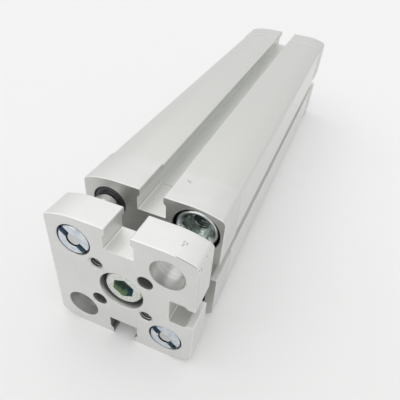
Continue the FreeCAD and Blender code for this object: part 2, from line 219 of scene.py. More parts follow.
def new_group(name, kind, inputs, outputs):
    """A node group with named sockets; returns the tree, its given inputs and its output node."""
    tree = bpy.data.node_groups.new(name, kind)
    for socket_name, socket_type, default in inputs:
        socket = tree.interface.new_socket(socket_name, in_out="INPUT", socket_type=socket_type)
        if default is not None:
            socket.default_value = default
    for socket_name, socket_type in outputs:
        tree.interface.new_socket(socket_name, in_out="OUTPUT", socket_type=socket_type)
    return tree, tree.nodes.new("NodeGroupInput").outputs, tree.nodes.new("NodeGroupOutput")


def put_out(tree, result, values):
    """Links values to the outputs of a group by their names."""
    for name, value in values.items():
        tree.links.new(value, result.inputs[name])


# Shader groups that several finishes share

def make_grain_group():
    """Fine and broad mottling, which can be drawn out along an axis."""
    tree, given, result = new_group(
        "surface_grain", "ShaderNodeTree",
        [("Grain Size", FLOAT, 0.3 * MM),
         ("Broad Size", FLOAT, 6 * MM),
         ("Stretch", VECTOR, (1.0, 1.0, 1.0))],
        [("Fine", FLOAT), ("Broad", FLOAT)])
    stretched = vector_maths(tree, "DIVIDE", "Vector", place_on_object(tree), given["Stretch"])
    fine_scale = divided(tree, 1.0, given["Grain Size"])
    broad_scale = divided(tree, 1.0, given["Broad Size"])
    put_out(tree, result, {
        "Fine": noise(tree, stretched, fine_scale, detail=3.0, roughness=0.6),
        "Broad": noise(tree, stretched, broad_scale, detail=4.0, roughness=0.55)})
    return tree


def make_edge_group():
    """Mask of worn edges, which also carry a painted highlight, where the rounded normal leaves the true
    one, broken up by noise.

    Bevel is the mask of faces that lean between the Y axis and the directions across it, where the
    aluminium gets a painted highlight.
    """
    tree, given, result = new_group(
        "edge_wear_and_highlight", "ShaderNodeTree",
        [("Width", FLOAT, 0.25 * MM), ("Breakup Size", FLOAT, 1.5 * MM)],
        [("Mask", FLOAT), ("Bevel", FLOAT), ("Normal", VECTOR)])
    rounded = add(tree, "ShaderNodeBevel", {"Radius": given["Width"]}, samples=6).outputs["Normal"]
    surface = add(tree, "ShaderNodeNewGeometry").outputs
    agree = vector_maths(tree, "DOT_PRODUCT", "Value", rounded, surface["Normal"])
    edge = ramp(tree, agree, 0.995, 0.80)
    scale = divided(tree, 1.0, given["Breakup Size"])
    patches = ramp(tree, noise(tree, place_on_object(tree), scale, detail=3.0), 0.3, 0.6, 0.35, 1.0)
    lean = maths(tree, "ABSOLUTE", axes_of(tree, surface["True Normal"])["Y"])
    bevel = times(tree, ramp(tree, lean, 0.3, 0.45), ramp(tree, lean, 0.95, 0.85))
    put_out(tree, result, {"Mask": times(tree, edge, patches), "Bevel": bevel, "Normal": rounded})
    return tree


def make_ring_group():
    """Turning rings about an axis along Y, or about the four axes set off to the corners.

    Radius is the distance from the nearest of these axes, and Across the part of it along X.
    """
    tree, given, result = new_group(
        "turning_rings", "ShaderNodeTree",
        [("Axis Offset", FLOAT, 0.0), ("Ring Size", FLOAT, 0.15 * MM)],
        [("Rings", FLOAT), ("Radius", FLOAT), ("Across", FLOAT)])
    place = axes_of(tree, place_on_object(tree))
    across, up = (
        minus(tree, place[name], times(tree, maths(tree, "SIGN", place[name]), given["Axis Offset"]))
        for name in ("X", "Z"))
    flat = add(tree, "ShaderNodeCombineXYZ", {"X": across, "Y": up}).outputs["Vector"]
    radius = vector_maths(tree, "LENGTH", "Value", flat)
    along = add(tree, "ShaderNodeCombineXYZ", {
        "X": divided(tree, radius, given["Ring Size"]),
        "Y": divided(tree, place["Y"], given["Ring Size"])})
    rings = noise(tree, along.outputs["Vector"], 1.0, detail=3.0)
    put_out(tree, result, {"Rings": rings, "Radius": radius, "Across": across})
    return tree


def make_recess_group():
    """How deep a point lies behind a front face, or behind a rear one if that is nearer, as a mask."""
    tree, given, result = new_group(
        "recess_depth", "ShaderNodeTree",
        [("Front Face", FLOAT, 0.0), ("Rear Face", FLOAT, 1.0),
         ("Start", FLOAT, 0.3 * MM), ("Full", FLOAT, 1.5 * MM)],
        [("Mask", FLOAT)])
    along = axes_of(tree, place_on_object(tree))["Y"]
    behind_front = minus(tree, along, given["Front Face"])
    behind_rear = minus(tree, given["Rear Face"], along)
    depth = smaller(tree, behind_front, behind_rear)
    put_out(tree, result, {"Mask": ramp(tree, depth, given["Start"], given["Full"])})
    return tree


def make_slot_group():
    """Masks of the slots that run along the top, the right and the bottom.

    Inside is the chamber behind a slot's lips, which gets painted light, Side that of the right slot, which
    gets painted shade, and Lip the right slot's mouth, which gets painted light. Lower is the whole of the
    bottom slot, which gets painted shade. Ridge is the edge of a slot's floor, with a painted highlight,
    Crease the foot of its walls, with painted shade, Lines are draw lines along it, and Joint is dirt where
    the barrel meets the caps.
    """
    corner_strip = 0.38 * MM
    floor_band = 0.12 * MM
    foot_height = 0.6 * MM
    line_draw = (1.0, 0.02, 1.0)
    joint_reach = (0.15 * MM, 0.05 * MM)
    dirt_place = -0.9 * MM
    dirt_reach = (1.7 * MM, 0.7 * MM)
    tree, given, result = new_group(
        "slot_marks", "ShaderNodeTree",
        [("Line Size", FLOAT, 0.3 * MM),
         ("Lip Depth", FLOAT, 1.7 * MM),
         ("Slot Depth", FLOAT, 4.9 * MM),
         ("Half Width", FLOAT, 3.0 * MM),
         ("Half Mouth", FLOAT, 2.45 * MM),
         ("Slope Start", FLOAT, 1.4 * MM)],
        [(name, FLOAT) for name in ("Inside", "Lower", "Side", "Lip", "Ridge", "Crease", "Lines", "Joint")])
    place = axes_of(tree, place_on_object(tree))
    across, up = (maths(tree, "ABSOLUTE", place[name]) for name in ("X", "Z"))
    depth = minus(tree, half_side, larger(tree, across, up))
    aside = smaller(tree, across, up)
    over_floor = is_under(tree, depth, given["Slot Depth"])
    off_port_side = is_over(tree, plus(tree, place["X"], given["Half Width"]), 0.0)
    past_lips = is_over(tree, depth, given["Lip Depth"])
    between_walls = is_under(tree, aside, given["Half Width"])
    inside = times(tree, off_port_side, past_lips, over_floor, between_walls)

    at_bottom = is_under(tree, plus(tree, place["Z"], given["Half Width"]), 0.0)
    sloped = plus(tree, given["Half Mouth"], minus(tree, depth, given["Slope Start"]))
    half_here = smaller(tree, larger(tree, sloped, given["Half Mouth"]), given["Half Width"])
    lower = times(tree, at_bottom, over_floor, is_under(tree, aside, half_here))

    at_right = is_over(tree, place["X"], up)
    before_chamber = is_under(tree, depth, given["Lip Depth"])
    mouth = times(tree, before_chamber, is_under(tree, aside, given["Half Mouth"]))

    corner = times(tree, inside, is_over(tree, aside, minus(tree, given["Half Width"], corner_strip)))
    on_floor = is_over(tree, depth, minus(tree, given["Slot Depth"], floor_band))
    foot = ramp(tree, depth, minus(tree, given["Slot Depth"], foot_height), given["Slot Depth"])
    ridge = times(tree, corner, on_floor)
    crease = times(tree, minus(tree, corner, ridge), foot)

    drawn = add(tree, "ShaderNodeMapping", {"Vector": place_on_object(tree), "Scale": line_draw})
    lines = noise(tree, drawn.outputs["Vector"], divided(tree, 1.0, given["Line Size"]), detail=3.0)
    from_front, from_rear = (
        maths(tree, "ABSOLUTE", minus(tree, place["Y"], end)) for end in (barrel_low.y, barrel_high.y))
    joint = ramp(tree, smaller(tree, from_front, from_rear), *joint_reach)
    dirt = ramp(tree, maths(tree, "ABSOLUTE", minus(tree, place["X"], dirt_place)), *dirt_reach)
    put_out(tree, result, {
        "Inside": inside,
        "Lower": lower,
        "Side": times(tree, inside, at_right),
        "Lip": times(tree, mouth, at_right),
        "Ridge": ridge,
        "Crease": crease,
        "Lines": times(tree, inside, ramp(tree, lines, 0.42, 0.62)),
        "Joint": times(tree, inside, joint, dirt)})
    return tree


def make_scratch_group():
    """Sparse hairline marks from handling, in two directions."""
    turns = ((0.3, 0.5, 0.9), (1.1, -0.4, -0.5))
    draws = ((9.0, 0.35, 0.6), (0.4, 0.5, 11.0))
    tree, given, result = new_group(
        "handling_marks", "ShaderNodeTree", [("Spacing", FLOAT, 2.5 * MM)], [("Mask", FLOAT)])
    scale = divided(tree, 1.0, given["Spacing"])
    masks = []
    for turn, draw in zip(turns, draws):
        inputs = {"Vector": place_on_object(tree), "Rotation": turn, "Scale": draw}
        drawn = add(tree, "ShaderNodeMapping", inputs).outputs["Vector"]
        masks.append(ramp(tree, noise(tree, drawn, scale, detail=1.0), 0.69, 0.74))
    put_out(tree, result, {"Mask": larger(tree, *masks)})
    return tree


def make_nick_group():
    """A small dent at one place: a ragged round mask."""
    tooth = 0.4 * MM
    raggedness = 0.8
    tree, given, result = new_group(
        "nick", "ShaderNodeTree",
        [("Place", VECTOR, (0.0, 0.0, 0.0)), ("Size", FLOAT, 0.4 * MM)], [("Mask", FLOAT)])
    away = vector_maths(tree, "DISTANCE", "Value", place_on_object(tree), given["Place"])
    ragged = times(tree, noise(tree, place_on_object(tree), 1 / tooth), raggedness)
    reach = plus(tree, divided(tree, away, given["Size"]), ragged)
    put_out(tree, result, {"Mask": ramp(tree, reach, 1.0, 0.7)})
    return tree


grain_group = make_grain_group()
edge_group = make_edge_group()
ring_group = make_ring_group()
recess_group = make_recess_group()
slot_group = make_slot_group()
scratch_group = make_scratch_group()
nick_group = make_nick_group()


def effect(tree, group, **values):
    """Places a shared group in a material; value names are its input names with underscores."""
    made = add(tree, "ShaderNodeGroup", node_tree=group)
    for name, value in values.items():
        feed(tree, made, {made.inputs[name.replace("_", " ").title()].identifier: value})
    return made.outputs


def behind(tree, faces, start, full):
    """Mask of what lies behind the nearer of a front and a rear face, from a start to a full depth."""
    front, rear = faces
    return effect(tree, recess_group, front_face=front, rear_face=rear, start=start, full=full)["Mask"]


def new_material(name, metallic, roughness):
    """A material with a Principled BSDF; returns the material, its tree and the shader."""
    material = bpy.data.materials.new(name)
    material.use_nodes = True
    tree = material.node_tree
    shader = tree.nodes["Principled BSDF"]
    feed(tree, shader, {"Metallic": metallic, "Roughness": roughness})
    return material, tree, shader


# Satin aluminium

# A bore has an axis offset, a radius, a share of painted shade that darkens it and the depth where that
# share is reached
Bore = namedtuple("Bore", "axis_offset radius soil depth")
# A nick, or a stretch of painted shade along an edge, has a place, a size and a darkness
Mark = namedtuple("Mark", "place size dark")

satin_roughness = 0.45
roughness_spread = 0.05
satin_grain = 0.16 * MM
satin_height = 0.006 * MM
grain_share = 0.05
coat_roughness = 0.3
cut_metal = 0.8
cut_gloss = 0.12
cut_ring = 0.3 * MM
streak_share = 0.3
# Share of a bore's depth where its painted shade starts
shade_start = 0.3
rim_margin = 0.4 * MM
milled_metal = 0.95
milled_gloss = 0.1
milled_ring = 0.25 * MM
hairline_share = 0.06
off_face = (0.01 * MM, 0.04 * MM)
past_edge = (0.08 * MM, 0.2 * MM)
nick_depth = 8.0
# Near-black for painted shade in bores, round heads, round studs and along edges, and for dark grains in
# plating
soil = (0.02, 0.02, 0.02)
grain_shade = (0.5, 0.5, 0.49)
cutter_streak = (0.45, 0.45, 0.43)
milled_pale = (0.63, 0.63, 0.61)
milled_dull = (0.56, 0.56, 0.54)
hairline = (0.9, 0.9, 0.9)
# Pale for worn edges and for painted highlights on edges and bevels
worn_edge_and_highlight = (0.97, 0.97, 0.96)
nick_shade = (0.2, 0.2, 0.2)
# The slots' colours: painted light in the chambers and on the right slot's mouth, painted shade in the
# right slot, at the walls' feet and in the bottom slot, a painted highlight on the floors' edges, draw
# lines and joint dirt
slot_light_shade_lines_and_dirt = (
    ("Inside", 0.55, (0.86, 0.87, 0.84)),
    ("Lines", 0.1, (0.4, 0.4, 0.39)),
    ("Side", 0.3, (0.3, 0.29, 0.27)),
    ("Ridge", 0.75, (1.0, 1.0, 0.97)),
    ("Crease", 0.4, (0.2, 0.2, 0.19)),
    ("Lower", 0.85, (0.10, 0.11, 0.10)),
    ("Lip", 0.5, (0.97, 0.97, 0.95)),
    ("Joint", 0.7, (0.15, 0.15, 0.14)),
)
# The painted highlight and shade at the slots' inner corners
painted_corner_marks = ("Ridge", "Crease")


def shade_slots(tree, colour, painted_corner_share):
    """Lays the slots' painted light and shade, their draw lines and joint dirt over a colour."""
    slots = effect(tree, slot_group)
    for mark, share, tint in slot_light_shade_lines_and_dirt:
        if mark in painted_corner_marks:
            share = share * painted_corner_share
        colour = laid_over(tree, colour, slots[mark], share, tint)
    return colour


def cut_bores(tree, colour, height, bores, faces, below):
    """Lays rings and painted shade into bores; returns colour, height and masks of the bores and their
    rims.
    """
    bare = 0.0
    rims = 0.0
    for bore in bores:
        turned = effect(tree, ring_group, axis_offset=bore.axis_offset, ring_size=cut_ring)
        deep = behind(tree, faces, shade_start * bore.depth, bore.depth)
        inside = times(tree, is_under(tree, turned["Radius"], bore.radius), below)
        streaks = times(tree, inside, ramp(tree, turned["Rings"], 0.4, 0.65, 0.0, streak_share))
        colour = mix_colours(tree, streaks, colour, cutter_streak)
        # Painted shade: the bore darkens with depth
        colour = laid_over(tree, colour, times(tree, inside, deep), bore.soil, soil)
        height = mix_values(tree, inside, height, turned["Rings"])
        bare = larger(tree, bare, inside)
        rims = larger(tree, rims, is_under(tree, turned["Radius"], bore.radius + rim_margin))
    return colour, height, bare, rims


def dent(tree, colour, height, nicks):
    """Sets small dark dents into a colour and a height."""
    for nick in nicks:
        mask = effect(tree, nick_group, place=nick.place, size=nick.size)["Mask"]
        colour = laid_over(tree, colour, mask, nick.dark, nick_shade)
        height = minus(tree, height, times(tree, mask, nick_depth))
    return colour, height


def darken_edge(tree, colour, edge_shades, faces, below, bare):
    """Lays painted shade over a colour: dark stretches along the broken edges of the faces near the given
    places.
    """
    past = behind(tree, faces, *past_edge)
    on_edge = times(tree, below, minus(tree, 1.0, larger(tree, past, bare)))
    for edge_shade in edge_shades:
        mask = effect(tree, nick_group, place=edge_shade.place, size=edge_shade.size)["Mask"]
        colour = laid_over(tree, colour, times(tree, mask, on_edge), edge_shade.dark, soil)
    return colour


def satin_aluminium(name, pale, dull, bores, faces, stretch=(1, 1, 1), nicks=(), edge_shades=(), milled=0.0,
                    metal=0.6, coat=0.0, painted_corner_share=1.0, edge_width=0.12 * MM, bevel_highlight=0.4):
    """Blasted, clear anodised aluminium: satin and finely grained, with cut bores and a few nicks, and with
    painted light and shade in the slots, in the bores and along the edges.

    Faces are the two ends that the bores start from, and milled is the share of bare milling on them.
    Stretch draws the grain out, metal says how metallic the satin is, and coat is the weight of a clear
    anodic film. The corner share says how strongly the painted highlight and shade go on the slots' inner
    corners, edge_width how wide the worn and highlighted edges are, and the bevel share how bright the
    painted highlight is on the broken edges round the faces.
    """
    material, tree, shader = new_material(name, metal, satin_roughness)
    feed(tree, shader, {"Coat Weight": coat, "Coat Roughness": coat_roughness})
    grain = effect(tree, grain_group, grain_size=satin_grain, stretch=stretch)
    edge = effect(tree, edge_group, width=edge_width)
    below = behind(tree, faces, *off_face)
    colour = mix_colours(tree, ramp(tree, grain["Broad"], 0.3, 0.7), pale, dull)
    colour = mix_colours(tree, ramp(tree, grain["Fine"], 0.35, 0.65, 0.0, grain_share), colour, grain_shade)
    colour = shade_slots(tree, colour, painted_corner_share)
    colour, height, bare, rims = cut_bores(tree, colour, grain["Fine"], bores, faces, below)
    metallic = ramp(tree, bare, 0.0, 1.0, metal, cut_metal)
    smoothest = satin_roughness - roughness_spread
    roughest = satin_roughness + roughness_spread
    satin = ramp(tree, grain["Fine"], 0.2, 0.8, smoothest, roughest)
    rough = minus(tree, satin, times(tree, bare, cut_gloss))
    if milled:
        face = times(tree, minus(tree, 1.0, below), milled)
        sweep = effect(tree, ring_group, ring_size=milled_ring)
        swept = mix_colours(tree, ramp(tree, sweep["Rings"], 0.35, 0.65), milled_pale, milled_dull)
        colour = mix_colours(tree, face, colour, swept)
        metallic = maths(tree, "MULTIPLY_ADD", face, milled_metal - metal, metallic)
        rough = minus(tree, rough, times(tree, face, milled_gloss))
    colour = laid_over(tree, colour, effect(tree, scratch_group)["Mask"], hairline_share, hairline)
    # Wear and a painted highlight on the edges, and a painted highlight on the bevels round the faces, kept
    # off the bores' rims
    wear_and_highlight = larger(tree, edge["Mask"], times(tree, edge["Bevel"], bevel_highlight))
    colour = mix_colours(tree, times(tree, wear_and_highlight, minus(tree, 1.0, rims)), colour, worn_edge_and_highlight)
    colour, height = dent(tree, colour, height, nicks)
    if edge_shades:
        colour = darken_edge(tree, colour, edge_shades, faces, below, bare)
    normal = bump(tree, height, satin_height, edge["Normal"])
    feed(tree, shader, {"Base Color": colour, "Metallic": metallic, "Roughness": rough, "Normal": normal})
    return material


plate_nicks = (
    Mark((10.27 * MM, plate_front + 2.65 * MM, plate_high.z - 0.2 * MM), 0.34 * MM, 0.5),
    Mark((10.32 * MM, plate_front + 3.0 * MM, plate_high.z - 0.2 * MM), 0.36 * MM, 0.5),
    Mark((10.2 * MM, plate_front + 3.55 * MM, plate_high.z - 0.2 * MM), 0.34 * MM, 0.5),
    Mark((10.8 * MM, plate_front + 3.15 * MM, plate_high.z - 0.3 * MM), 0.32 * MM, 0.5),
    Mark((10.75 * MM, plate_front + 3.45 * MM, plate_high.z - 0.3 * MM), 0.32 * MM, 0.5),
    Mark((plate_high.x - 0.05 * MM, plate_front + 3.3 * MM, 13.15 * MM), 0.55 * MM, 0.9),
    Mark((plate_high.x, plate_front + 0.75 * MM, 12.75 * MM), 0.5 * MM, 0.5),
)
# Painted shade: dark stretches along the plate's front edges, at the top right and down the right side
plate_edge_shades = (
    Mark((12.1 * MM, plate_front, plate_high.z - 0.8 * MM), 4.6 * MM, 0.65),
    Mark((plate_high.x, plate_front, 8.0 * MM), 12.0 * MM, 0.35),
    Mark((plate_high.x, plate_front, -8.0 * MM), 14.0 * MM, 0.15),
)
cap_nicks = (
    Mark((4.3 * MM, cap_front + 6.65 * MM, cap_high.z), 0.3 * MM, 0.6),
    Mark((4.6 * MM, cap_front + 6.4 * MM, cap_high.z), 0.32 * MM, 0.6),
    Mark((4.9 * MM, cap_front + 6.1 * MM, cap_high.z), 0.3 * MM, 0.6),
    Mark((4.85 * MM, cap_front + 6.6 * MM, cap_high.z), 0.26 * MM, 0.5),
    Mark((-1.55 * MM, cap_front + 4.0 * MM, cap_high.z - 4.85 * MM), 0.34 * MM, 0.6),
    Mark((cap_high.x, cap_front + 5.7 * MM, 2.4 * MM), 0.5 * MM, 0.7),
)

# The plate's nut and tool holes, its dowel holes and thread mouths, its threads and its middle counterbore,
# each with a share of painted shade
plate_bores = (
    Bore(corner_offset, radius=3.4 * MM, soil=0.0, depth=2 * MM),
    Bore(accessory_offset, radius=1.62 * MM, soil=0.4, depth=1.0 * MM),
    Bore(accessory_offset, radius=1.3 * MM, soil=0.65, depth=0.8 * MM),
    Bore(0.0, radius=4.5 * MM, soil=0.3, depth=3.0 * MM),
)
# The caps' counterbores and the barrel's holes, with painted shade in them
cap_bores = (Bore(corner_offset, radius=4.85 * MM, soil=0.95, depth=1 * MM),)
barrel_bores = (Bore(corner_offset, radius=2.8 * MM, soil=0.3, depth=4 * MM),)


# Plated and ground steel

steel_grain = 0.3 * MM
steel_shimmer = 1.2 * MM
steel_edge = 0.1 * MM
edge_share = 0.8
film_drift = 2 * MM
film_change = (-0.3 * MM, 0.4 * MM)
bore_mouth = (0.02 * MM, 0.05 * MM)
flank_start = 0.06 * MM
flank_full = 0.02 * MM
smoothest_ring = 0.7
roughest_ring = 1.3


def lay_film(tree, shader, colour, rings, grain, recess):
    """Lays a recess's plating film, with painted shade and reflection, over a colour and sets how metallic
    the shader is there.

    The recess gives its faces, the radius that it reaches, the depths between which its film starts and
    deepens, the film's tints near the mouth and in the depth (each left and right), which paint the recess
    darker in the depth and one side lighter than the other, how metallic the film is, the tint, share and
    size of painted glints in it and the radius of a bore painted dark with shade.
    """
    filmed = behind(tree, recess["faces"], *recess["start"])
    filmed = times(tree, filmed, is_under(tree, rings["Radius"], recess["reach"]))
    deep = behind(tree, recess["faces"], *recess["deepen"])
    drift = times(tree, minus(tree, grain["Broad"], 0.5), film_drift)
    shift = ramp(tree, plus(tree, rings["Across"], drift), *film_change)
    at_mouth, at_depth = (mix_colours(tree, shift, *recess[part]) for part in ("mouth", "depth"))
    film = mix_colours(tree, deep, at_mouth, at_depth)
    spots = noise(tree, place_on_object(tree), 1 / recess["glint_size"])
    # Painted glints: bright patches in the film
    film = mix_colours(tree, ramp(tree, spots, 0.54, 0.62, 0.0, recess["patches"]), film, recess["glint_tint"])
    colour = mix_colours(tree, filmed, colour, film)
    feed(tree, shader, {"Metallic": ramp(tree, filmed, 0.0, 1.0, 1.0, recess["metal"])})
    below = behind(tree, recess["faces"], *bore_mouth)
    # Painted shade round a stud, in its bore
    bore_wall = times(tree, below, is_under(tree, rings["Radius"], recess["bore"]))
    return mix_colours(tree, bore_wall, colour, soil)


def plated_steel(name, tints, roughness, axis_offset=0.0, recess=None, flank=None, grit=0.0, speckle=0.0,
                 ring_height=0.004 * MM):
    """Plated or ground steel with turning rings and a shimmer between two tints, and a third on worn edges,
    which also stands for a painted highlight there.

    Recess describes a socket or slot with a film, with painted reflection and shade, as lay_film says.
    Flank is the radius of a head's side, which is painted dark with shade. Grit is the height of a
    sparkling grain, speckle the share of dark grains, and ring_height the height of the turning rings.
    """
    material, tree, shader = new_material(name, metallic=1.0, roughness=roughness)
    rings = effect(tree, ring_group, axis_offset=axis_offset)
    grain = effect(tree, grain_group, grain_size=steel_grain, broad_size=steel_shimmer)
    edge = effect(tree, edge_group, width=steel_edge)
    colour = mix_colours(tree, ramp(tree, grain["Broad"], 0.35, 0.65), tints[0], tints[1])
    if speckle:
        colour = mix_colours(tree, ramp(tree, grain["Fine"], 0.45, 0.62, 0.0, speckle), colour, soil)
    if recess is not None:
        colour = lay_film(tree, shader, colour, rings, grain, recess)
    # Wear and a painted highlight on the edges
    colour = laid_over(tree, colour, edge["Mask"], edge_share, tints[2])
    # Painted shade on a head's side, next to its counterbore
    if flank is not None:
        side = ramp(tree, rings["Radius"], flank - flank_start, flank - flank_full)
        colour = mix_colours(tree, side, colour, soil)
    rough = ramp(tree, rings["Rings"], 0.3, 0.7, roughness * smoothest_ring, roughness * roughest_ring)
    normal = bump(tree, rings["Rings"], ring_height, edge["Normal"])
    if grit:
        normal = bump(tree, grain["Fine"], grit, normal)
    feed(tree, shader, {"Base Color": colour, "Roughness": rough, "Normal": normal})
    return material


far_away = 1.0
stud_radius = 1.35 * MM
stud_margin = 0.1 * MM
# Blue of the plating, darkened as painted shade in the nut's slot
slot_blue_in_shade = ((0.17, 0.26, 0.37), (0.20, 0.30, 0.36))
nut_recess = {
    "faces": (plate_front, far_away),
    "start": (0.3 * MM, 0.8 * MM),
    "deepen": (0.8 * MM, 1.0 * MM),
    "mouth": slot_blue_in_shade,
    "depth": slot_blue_in_shade,
    "metal": 1.0,
    "reach": far_away,
    "glint_tint": (1.0, 1.0, 1.0),
    "patches": 0.0,
    "glint_size": 1 * MM,
    "bore": stud_radius + stud_margin,
}
# Olive and teal plating film with painted reflection: lighter olive on the left at the mouth, dark teal on
# the right and in the depth, with painted glints
screw_recess = {
    "faces": (plate_front, far_away),
    "start": (0.85 * MM, 0.95 * MM),
    "deepen": (0.95 * MM, 1.9 * MM),
    "mouth": ((0.46, 0.58, 0.16), (0.10, 0.19, 0.18)),
    "depth": ((0.13, 0.21, 0.17), (0.07, 0.16, 0.24)),
    "metal": 0.3,
    "reach": 2.6 * MM,
    "glint_tint": (0.50, 0.70, 0.45),
    "patches": 0.5,
    "glint_size": 1.7 * MM,
    "bore": 0.0,
}
# Painted reflection and shade: darker on the left, lighter on the right, with painted glints
flange_recess = {
    "faces": (cap_front, rear_face),
    "start": (0.35 * MM, 0.6 * MM),
    "deepen": (1.5 * MM, 2.8 * MM),
    "mouth": ((0.23, 0.25, 0.25), (0.52, 0.56, 0.54)),
    "depth": ((0.29, 0.33, 0.30), (0.52, 0.57, 0.545)),
    "metal": 0.9,
    "reach": 3.75 * MM,
    "glint_tint": (0.9, 1.0, 0.96),
    "patches": 0.7,
    "glint_size": 1.1 * MM,
    "bore": 0.0,
}


# Polymer, rubber and bonded powder

moulding_mottle = 3 * MM
moulding_edge = 0.2 * MM
moulding_edge_share = 0.35
moulding_spread = 0.08
moulding_height = 0.01 * MM


def dull_moulding(name, dark, light, roughness, grain_size=0.2 * MM):
    """Moulded polymer, rubber or bonded powder: non-metal with a fine grain."""
    material, tree, shader = new_material(name, metallic=0.0, roughness=roughness)
    grain = effect(tree, grain_group, grain_size=grain_size, broad_size=moulding_mottle)
    edge = effect(tree, edge_group, width=moulding_edge)
    colour = mix_colours(tree, grain["Broad"], dark, light)
    colour = laid_over(tree, colour, edge["Mask"], moulding_edge_share, light)
    rough = ramp(tree, grain["Fine"], 0.2, 0.8, roughness - moulding_spread, roughness + moulding_spread)
    normal = bump(tree, grain["Fine"], moulding_height, edge["Normal"])
    feed(tree, shader, {"Base Color": colour, "Roughness": rough, "Normal": normal})
    return material


# Finishes by name, and the nodes that wear them

finishes = {
    "plate": satin_aluminium(
        "milled_plate", (0.77, 0.77, 0.755), (0.74, 0.74, 0.725), plate_bores, (plate_front, plate_high.y),
        nicks=plate_nicks, edge_shades=plate_edge_shades, edge_width=0.2 * MM, bevel_highlight=0.9),
    "caps": satin_aluminium(
        "milled_caps", (0.72, 0.72, 0.705), (0.69, 0.69, 0.675), cap_bores, (cap_front, rear_face),
        nicks=cap_nicks, milled=0.8),
    "barrel": satin_aluminium(
        "anodised_barrel", (0.68, 0.69, 0.66), (0.66, 0.67, 0.64), barrel_bores,
        (barrel_low.y, barrel_high.y), stretch=(1, 60, 1), metal=0.4, coat=1.0, painted_corner_share=0.1),
    "piston": plated_steel(
        "turned_aluminium", ((0.75, 0.75, 0.74), (0.68, 0.68, 0.67), (0.9, 0.9, 0.9)), roughness=0.3),
    "nuts": plated_steel(
        "blue_zinc", ((0.56, 0.64, 0.72), (0.76, 0.78, 0.80), (0.93, 0.94, 0.95)), roughness=0.28,
        axis_offset=corner_offset, recess=nut_recess, grit=0.008 * MM, speckle=0.1),
    "plate_screw": plated_steel(
        "pale_zinc", ((0.72, 0.77, 0.70), (0.82, 0.83, 0.80), (0.93, 0.95, 0.92)), roughness=0.25,
        recess=screw_recess, flank=screw_radius, grit=0.04 * MM, speckle=0.35),
    "piston_screw": plated_steel(
        "clear_zinc", ((0.70, 0.72, 0.72), (0.76, 0.77, 0.77), (0.9, 0.9, 0.9)), roughness=0.28),
    "flange_screws": plated_steel(
        "dark_zinc", ((0.52, 0.55, 0.56), (0.62, 0.64, 0.65), (0.78, 0.80, 0.84)), roughness=0.18,
        axis_offset=corner_offset, recess=flange_recess, flank=flange_radius, grit=0.02 * MM),
    "plate_threads": plated_steel(
        "cut_aluminium", ((0.72, 0.72, 0.74), (0.80, 0.80, 0.82), (0.95, 0.95, 0.95)), roughness=0.15,
        axis_offset=accessory_offset),
    "rods": plated_steel(
        "ground_chrome", ((0.61, 0.61, 0.60), (0.58, 0.58, 0.57), (0.75, 0.75, 0.75)), roughness=0.08,
        axis_offset=corner_offset, ring_height=0.001 * MM),
    "bushes": dull_moulding(
        "black_polymer", (0.020, 0.021, 0.027), (0.045, 0.047, 0.058), roughness=0.3),
    "bronze": plated_steel(
        "sintered_bronze", ((0.45, 0.28, 0.12), (0.38, 0.24, 0.11), (0.6, 0.4, 0.2)), roughness=0.42),
    "rubber": dull_moulding(
        "seal_rubber", (0.015, 0.015, 0.015), (0.035, 0.035, 0.035), roughness=0.6),
    "magnet": dull_moulding(
        "bonded_magnet", (0.04, 0.04, 0.045), (0.08, 0.08, 0.085), roughness=0.55, grain_size=0.1 * MM),
}

dressing = {
    "plate": ("front_plate",),
    "caps": ("front_cap", "rear_cap"),
    "barrel": ("barrel",),
    "piston": ("piston_front_half", "piston_rear_half"),
    "nuts": ("guide_rod_nut_upper", "guide_rod_nut_lower"),
    "plate_screw": ("plate_screw",),
    "piston_screw": ("piston_screw",),
    "flange_screws": ("front_flange_screws", "rear_flange_screws"),
    "rods": ("guide_rod_upper", "guide_rod_lower", "piston_rod"),
    "bushes": ("guide_bush_upper", "guide_bush_lower", "piston_wear_ring"),
    "bronze": ("rod_bush",),
    "rubber": ("rod_seal", "front_cap_o_ring", "rear_cap_o_ring", "piston_front_seal", "piston_rear_seal",
               "front_bumper", "rear_bumper"),
    "magnet": ("piston_magnet",),
}
for finish, names in dressing.items():
    for name in names:
        nodes[name].data.materials.clear()
        nodes[name].data.materials.append(finishes[finish])


# Threads and knurl, made with Geometry Nodes

ring_inputs = [
    ("Copies", "NodeSocketInt", 2),
    ("Circle Radius", FLOAT, 5 * MM),
    ("First Angle", FLOAT, 0.0),
    ("Mouth Centre", VECTOR, (0.0, 0.0, 0.0)),
    ("Turn", VECTOR, (0.0, 0.0, 0.0)),
    ("Finish", "NodeSocketMaterial", None),
]


